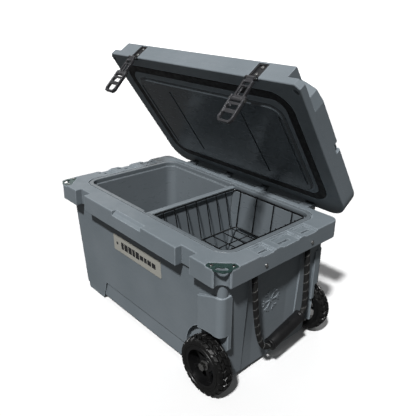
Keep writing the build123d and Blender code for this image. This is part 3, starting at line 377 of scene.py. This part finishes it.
def make_tyre(name, side):
    """A carcass with ridged sidewalls under four staggered rows of slanted tread blocks."""
    mesh = bmesh.new()
    half_profile = [
        (RIM_RADIUS, 0.0168),
        (RIM_RADIUS + 0.0006, 0.0186),
        (RIM_RADIUS + 0.0030, 0.0192),
        (RIM_RADIUS + 0.0036, 0.0204),
        (RIM_RADIUS + 0.0056, 0.0204),
        (RIM_RADIUS + 0.0062, 0.0190),
        (CARCASS_RADIUS - 0.0060, 0.0200),
        (CARCASS_RADIUS - 0.0022, 0.0190),
        (CARCASS_RADIUS, 0.0160),
    ]
    profile = half_profile + [(radius, -height) for radius, height in reversed(half_profile)]
    centre = Vector((AXLE_X, side * WHEEL_Y, AXLE_Z))
    lathe(mesh, profile, centre, (0, 1, 0), 120)
    for row in range(TREAD_ROWS):
        odd = row % 2
        low_y = -TYRE_HALF + row * ROW_WIDTH + ROW_GAP / 2
        lean = BLOCK_LEAN * TREAD_PITCH * (1 if odd else -1)
        root_depth = 4 * MM if row in (0, TREAD_ROWS - 1) else 1 * MM
        for k in range(TREAD_COUNT):
            tread_block(mesh, centre, TREAD_PITCH * (k + 0.5 * odd), lean, low_y, root_depth)
    body = "wheel_front" if side < 0 else "wheel_back"
    finished(name, mesh, body, "tyre", [name.replace("_tread", "")])


for wheel, wheel_side in (("front", -1), ("back", 1)):
    make_tyre(f"tyre_{wheel}_tread", wheel_side)

# ---------------------------------------------------------------- rope handles

ROPE_ROUTE = [
    (337, -92, 294),
    (337, -86, 238),
    (337, -78, 177),
    (338, -67, 121),
    (340, -55, 87),
    (342, -38, 73.6),
    (342, -17, 79.2),
    (342, 62.6, 100.2),
    (342, 101, 110.4),
    (341, 104, 150),
    (339, 103, 220),
    (337, 99, 294),
]
ROPE_RADIUS, ROPE_LENGTH = 7 * MM, 553.7 * MM
ROPE_SIDES, STRANDS, BRAID_PITCH = 40, 8, 22 * MM
WEAVE_SINK, WEAVE_HEIGHT = 0.55 * MM, 0.45 * MM
TRACER_RADIUS, TRACER_PITCH, TRACER_STEP = 0.6 * MM, 25 * MM, 1.2 * MM
GRIP_START, GRIP_END = Vector((342, -29, 76)) * MM, Vector((342, 88, 107)) * MM
GRIP_LENGTH, GRIP_BORE, GRIP_RADIUS, GRIP_WAIST = 121 * MM, 7.6 * MM, 16.5 * MM, 15.6 * MM


def route_points(side):
    """The rope's centreline, as even points on one smooth curve."""
    data = bpy.data.curves.new("rope_line", "CURVE")
    data.dimensions = "3D"
    data.resolution_u = 24
    spline = data.splines.new("NURBS")
    spline.points.add(len(ROPE_ROUTE) - 1)
    for point, (x, y, z) in zip(spline.points, ROPE_ROUTE):
        point.co = (side * x * MM, y * MM, z * MM, 1)
    spline.order_u = 3
    spline.use_endpoint_u = True
    line = bpy.data.objects.new("rope_line", data)
    bpy.context.scene.collection.objects.link(line)
    bpy.context.view_layer.update()
    flat = bpy.data.meshes.new_from_object(line.evaluated_get(bpy.context.evaluated_depsgraph_get()))
    points = [vert.co.copy() for vert in flat.vertices]
    bpy.data.objects.remove(line)
    return resampled(points, 1.1 * MM)


def resampled(points, step):
    """The same line with points a fixed step apart."""
    lengths = [0.0]
    for before, after in zip(points, points[1:]):
        lengths.append(lengths[-1] + (after - before).length)
    count = round(lengths[-1] / step)
    even, k = [], 0
    for i in range(count + 1):
        want = lengths[-1] * i / count
        while k < len(points) - 2 and lengths[k + 1] < want:
            k += 1
        share = (want - lengths[k]) / max(lengths[k + 1] - lengths[k], 1e-9)
        even.append(points[k].lerp(points[k + 1], min(1, share)))
    return even


def frames_along(points):
    """Each point with two directions across the line, with no twist from one to the next."""
    found = []
    side = Vector((0, 0, 1)).cross(points[1] - points[0])
    side = side.normalized() if side.length > 1e-6 else Vector((1, 0, 0))
    for i, point in enumerate(points):
        ahead = (points[min(i + 1, len(points) - 1)] - points[max(i - 1, 0)]).normalized()
        side = (side - ahead * side.dot(ahead)).normalized()
        found.append((point, side, ahead.cross(side)))
    return found


def outwards(first, second, angle):
    return first * math.cos(angle) + second * math.sin(angle)


def make_rope(name, side):
    """A braided rope with a pale tracer yarn winding round it."""
    points = route_points(side)
    step = (points[1] - points[0]).length
    rings, tracer_line = [], []
    for i, (point, first, second) in enumerate(frames_along(points)):
        turn = 2 * math.pi * i * step / BRAID_PITCH
        ring = []
        for k in range(ROPE_SIDES):
            angle = 2 * math.pi * k / ROPE_SIDES
            weave = max(math.cos(STRANDS * angle + 2 * turn), math.cos(STRANDS * angle - 2 * turn))
            radius = ROPE_RADIUS - WEAVE_SINK + WEAVE_HEIGHT * weave
            ring.append(point + outwards(first, second, angle) * radius)
        rings.append(ring)
        angle = 2 * math.pi * i * step / TRACER_PITCH
        tracer_radius = ROPE_RADIUS - TRACER_RADIUS + 0.1 * MM
        tracer_line.append(point + outwards(first, second, angle) * tracer_radius)
    braid = bmesh.new()
    closed_tube(braid, rings)
    body = "handle_right" if side > 0 else "handle_left"
    rope = finished(name, braid, body, "rope", [name.replace("_braid", "")])

    yarn = bmesh.new()
    closed_tube(yarn, [
        [point + outwards(first, second, math.pi * k / 4) * TRACER_RADIUS for k in range(8)]
        for point, first, second in frames_along(resampled(tracer_line[2:-2], TRACER_STEP))
    ])
    tracer = finished(name + "_tracer", yarn, body, "rope", material=TRACER_YARN)


def make_grip(name, side):
    """A moulded tube with a collar at each end and a slightly thinner middle."""
    start = Vector((side * GRIP_START.x, GRIP_START.y, GRIP_START.z))
    axis = GRIP_END - GRIP_START
    half_profile = [
        (GRIP_BORE, 0.0008),
        (GRIP_BORE + 0.0008, 0),
        (GRIP_RADIUS - 0.0018, 0),
        (GRIP_RADIUS - 0.0004, 0.0006),
        (GRIP_RADIUS, 0.0020),
        (GRIP_RADIUS, 0.0062),
        (GRIP_RADIUS - 0.0006, 0.0072),
        (GRIP_WAIST - 0.0004, 0.0080),
        (GRIP_WAIST, 0.0100),
        (GRIP_WAIST + 0.0003, 0.0350),
    ]
    other_half = [(radius, GRIP_LENGTH - height) for radius, height in reversed(half_profile)]
    mesh = bmesh.new()
    lathe(mesh, half_profile + other_half, start, axis, 72)
    body = "handle_right" if side > 0 else "handle_left"
    finished(name, mesh, body, "grip_plastic", [name.replace("_sleeve", "")])


for hand, hand_side in (("left", -1), ("right", 1)):
    make_rope(f"rope_{hand}_braid", hand_side)
    make_grip(f"grip_{hand}_sleeve", hand_side)

# ---------------------------------------------------------------- latches

LID_OPEN = math.radians(55.05)
HINGE_Y, HINGE_Z = 232 * MM, 335.6 * MM
LATCH_X, PIVOT_Y, PIVOT_Z = 224 * MM, -207 * MM, 344 * MM
ARM_LENGTH, TILT = 57 * MM, math.radians(12)
BARREL_RADIUS, PIN_BORE, ROUNDING, RIB_ROUNDING = 5 * MM, 2.6 * MM, 0.9 * MM, 0.4 * MM
DOWN = Vector((0, math.sin(TILT), -math.cos(TILT)))
OUT = Vector((0, -math.cos(TILT), -math.sin(TILT)))
ACROSS = Vector((1, 0, 0))


def open_lid(mesh):
    """Turns what is drawn on the shut lid about the hinge rod to where the lid rests."""
    turn = Matrix.Translation((0, HINGE_Y, HINGE_Z)) @ Matrix.Rotation(-LID_OPEN, 4, "X")
    turn = turn @ Matrix.Translation((0, -HINGE_Y, -HINGE_Z))
    bmesh.ops.transform(mesh, matrix=turn, verts=mesh.verts)


def both_sides(middle, size):
    """The same bar left and right of the latch's middle."""
    across, down, out = middle
    return [((side * across, down, out), size) for side in (-1, 1)]


def latch_bars(mesh, root, bars, rounding=ROUNDING):
    """Rounded bars given by (across, down, out) of their middle and their size, in millimetres."""
    for middle, size in bars:
        across, down, out = (value * MM for value in middle)
        place = root + ACROSS * across + DOWN * down + OUT * out
        block(mesh, place, (ACROSS, DOWN, OUT), [value * MM for value in size], rounding)


def barrel(mesh, middle, half):
    """A short tube across the latch, round one of its pins."""
    edge = 0.6 * MM
    profile = [(PIN_BORE, -half), (BARREL_RADIUS - edge, -half), (BARREL_RADIUS, edge - half)]
    profile += [(radius, -height) for radius, height in reversed(profile)]
    lathe(mesh, profile, middle, ACROSS, 40)


def make_arm(name, pivot, elbow):
    """Two side rails joined by cross bars, with a barrel round each pin."""
    mesh = bmesh.new()
    latch_bars(mesh, pivot, [
        *both_sides((12.6, 31.5, 0), (4.6, 46, 8)),
        *both_sides((8.8, 36, -2.2), (3.6, 26, 2.6)),
        ((0, 5.4, 0), (20.6, 7, 6.6)),
        ((0, 9.8, 0.2), (24, 5.2, 5.6)),
        ((0, 21.5, -0.8), (22, 3.6, 4.6)),
        ((0, 50.4, 0.2), (24, 5, 5.6)),
    ])
    barrel(mesh, pivot, 10.4 * MM)
    barrel(mesh, elbow, 15 * MM)
    open_lid(mesh)
    body = f"latch_arm_{name}"
    finished(f"arm_{name}_link", mesh, body, "latch_plastic", [body])


def make_lever(name, elbow):
    """A wider frame of ribbed side bars, with cross bars, a small lug and slanted lower corners."""
    mesh = bmesh.new()
    latch_bars(mesh, elbow, [
        *both_sides((19.2, 20.5, 0.5), (5.2, 58, 8.8)),
        ((0, 12, 1.6), (34, 6.4, 3.2)),
        ((0, 31.5, 1.2), (34, 9.6, 4.4)),
        ((0, 57.2, 0.5), (29, 5.4, 8.8)),
        ((-9.5, 17.2, 1.2), (6, 6, 3)),
    ])
    for corner in (-1, 1):
        slant = DOWN * 8 - ACROSS * corner * 5
        place = elbow + ACROSS * corner * 17 * MM + DOWN * 53 * MM + OUT * 0.5 * MM
        size = (13.5 * MM, 5.4 * MM, 8.8 * MM)
        block(mesh, place, (slant, slant.cross(OUT), OUT), size, ROUNDING)
    latch_bars(mesh, elbow, both_sides((19.2, 20.5, 5), (2, 56, 1.2)), RIB_ROUNDING)
    open_lid(mesh)
    body = f"latch_lever_{name}"
    finished(f"lever_{name}_grip", mesh, body, "latch_plastic", [body])


for hand, hand_side in (("left", -1), ("right", 1)):
    latch_pivot = Vector((hand_side * LATCH_X, PIVOT_Y, PIVOT_Z))
    latch_elbow = latch_pivot + DOWN * ARM_LENGTH
    make_arm(hand, latch_pivot, latch_elbow)
    make_lever(hand, latch_elbow)

# ---------------------------------------------------------------- label

LABEL_CENTRE = (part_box("label_plate")[0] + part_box("label_plate")[1]) / 2
LABEL_OUT = Vector((0, -1, -0.045)).normalized()
LABEL_UP = LABEL_OUT.cross(ACROSS)
MARK_LEFT, MARK_GAP, MARK_COUNT, TALL_COUNT = -68, 3.6, 9, 5
DOT_LEFT, DOT_RADIUS = -88 * MM, 4.3 * MM


def make_label_marks():
    """A printed dot and a row of plain bars, in place of any lettering."""
    mesh = bmesh.new()
    surface = LABEL_CENTRE + LABEL_OUT * 0.75 * MM
    left = MARK_LEFT
    for k in range(MARK_COUNT):
        width = 15 if k % 3 else 11
        height = 20 if k < TALL_COUNT else 14
        middle = surface + ACROSS * (left + width / 2) * MM
        size = (width * MM, height * MM, 0.5 * MM)
        block(mesh, middle, (ACROSS, LABEL_UP, LABEL_OUT), size, 0.1 * MM)
        left += width + MARK_GAP
    low, high, hole = -0.2 * MM, 0.3 * MM, 0.1 * MM
    disc = [(hole, low), (DOT_RADIUS, low), (DOT_RADIUS, high), (hole, high)]
    lathe(mesh, disc, surface + ACROSS * DOT_LEFT, LABEL_OUT, 32)
    finished("label_marks", mesh, "tub", "label_metal", material=MATERIALS["black_plastic"])


make_label_marks()

# ---------------------------------------------------------------- stage

FLOOR_RADIUS, CURVE_RADIUS = 3.2, 2


def make_floor():
    """A plain pale floor that curves up into a faintly glowing backdrop."""
    flat_radii = [0.02 + FLOOR_RADIUS * k / 12 for k in range(13)]
    curve_angles = [math.pi * k / 32 for k in range(1, 17)]
    profile = [(radius, 0) for radius in flat_radii] + [
        (flat_radii[-1] + CURVE_RADIUS * math.sin(a), CURVE_RADIUS * (1 - math.cos(a)))
        for a in curve_angles
    ]
    mesh = bmesh.new()
    rows = bridge_rings(mesh, [
        [(r * math.cos(a), r * math.sin(a), z) for a in (2 * math.pi * k / 96 for k in range(96))]
        for r, z in profile
    ])
    mesh.faces.new(rows[0])
    bmesh.ops.recalc_face_normals(mesh, faces=mesh.faces)
    data = bpy.data.meshes.new("floor")
    mesh.to_mesh(data)
    mesh.free()
    for face in data.polygons:
        face.use_smooth = True
    floor = bpy.data.objects.new("floor", data)
    bpy.context.scene.collection.objects.link(floor)
    floor.visible_diffuse = False
    floor.visible_glossy = False
    s = Shader("pale_floor")
    height = s.add("ShaderNodeSeparateXYZ", {"Vector": s.place}).outputs["Z"]
    data.materials.append(s.out(
        Base_Color=(0.86, 0.86, 0.86, 1),
        Roughness=0.95,
        Emission_Color=(1, 1, 1, 1),
        Emission_Strength=s.ramp(height, 0.0, 0.7, 0.02, 0.5),
    ))


def make_sun(name, strength, spread, towards_light):
    """A distant lamp, with its spread in degrees."""
    sun = bpy.data.lights.new(name, "SUN")
    sun.energy, sun.angle = strength, math.radians(spread)
    lamp = bpy.data.objects.new(name, sun)
    lamp.rotation_mode = "QUATERNION"
    lamp.rotation_quaternion = Vector(towards_light).to_track_quat("Z", "Y")
    bpy.context.scene.collection.objects.link(lamp)


def make_lights():
    """A crisp key light, a broad fill from behind and a dim white sky."""
    make_sun("key", 4.0, 4, (0.27, -0.51, 0.82))
    make_sun("back_fill", 0.6, 60, (-0.6, 0.6, 0.5))
    world = bpy.data.worlds.new("studio")
    world.use_nodes = True
    sky = world.node_tree.nodes["Background"]
    sky.inputs["Color"].default_value = (1, 1, 1, 1)
    sky.inputs["Strength"].default_value = 0.12
    bpy.context.scene.world = world
    bpy.context.scene.view_settings.view_transform = "Standard"


make_floor()
make_lights()
